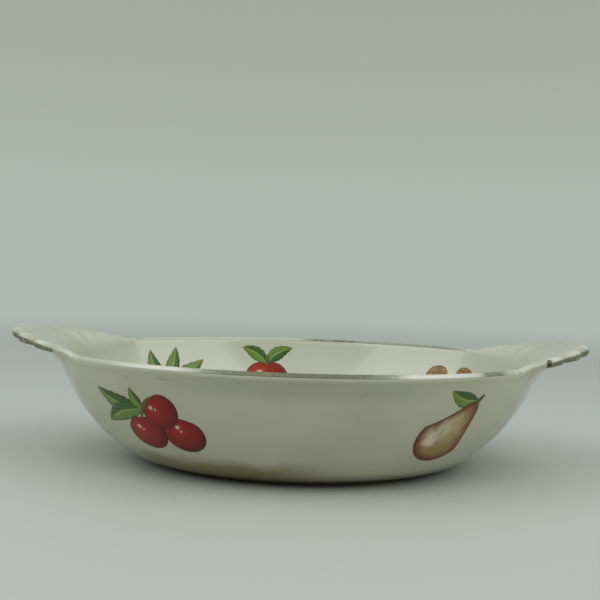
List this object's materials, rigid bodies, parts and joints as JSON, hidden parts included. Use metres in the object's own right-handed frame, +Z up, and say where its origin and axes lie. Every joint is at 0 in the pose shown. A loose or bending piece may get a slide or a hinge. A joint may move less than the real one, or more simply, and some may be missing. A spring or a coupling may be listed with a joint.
{
  "type": "au gratin dish",
  "caption": "Shallow oval earthenware baking dish with flared walls, a fluted shell handle at each end, a low foot ring, printed fruit transfers and a worn gilded rim.",
  "frame": {"origin": "middle of the dish on the table, in the plane of the underside of the foot ring", "axes": "+Z up, +X along the length of the oval towards the right handle, +Y towards the back wall"},
  "size_m": [0.2902, 0.1802, 0.0641],
  "materials": {
    "glazed_body": "glossy cream glaze, lightly mottled and stained",
    "bare_clay": "matt unglazed clay",
    "gilding": "thin worn gilding",
    "red_print": "printed transfer under a glossy glaze",
    "ochre_print": "printed transfer under a glossy glaze",
    "green_print": "printed transfer under a glossy glaze"
  },
  "bodies": {
    "root": {"bowl": "glazed_body", "foot_ring": "bare_clay", "left_handle": "glazed_body", "right_handle": "glazed_body", "front_rim_gilding": "gilding", "back_rim_gilding": "gilding", "left_handle_gilding": "gilding", "right_handle_gilding": "gilding", "front_left_transfer": "red_print", "front_right_transfer": "ochre_print", "back_left_transfer": "ochre_print", "back_right_transfer": "red_print", "inside_back_left_transfer": "green_print", "inside_back_middle_transfer": "red_print", "inside_back_right_transfer": "ochre_print", "inside_front_left_transfer": "ochre_print", "inside_front_right_transfer": "green_print"}
  },
  "joints": []
}
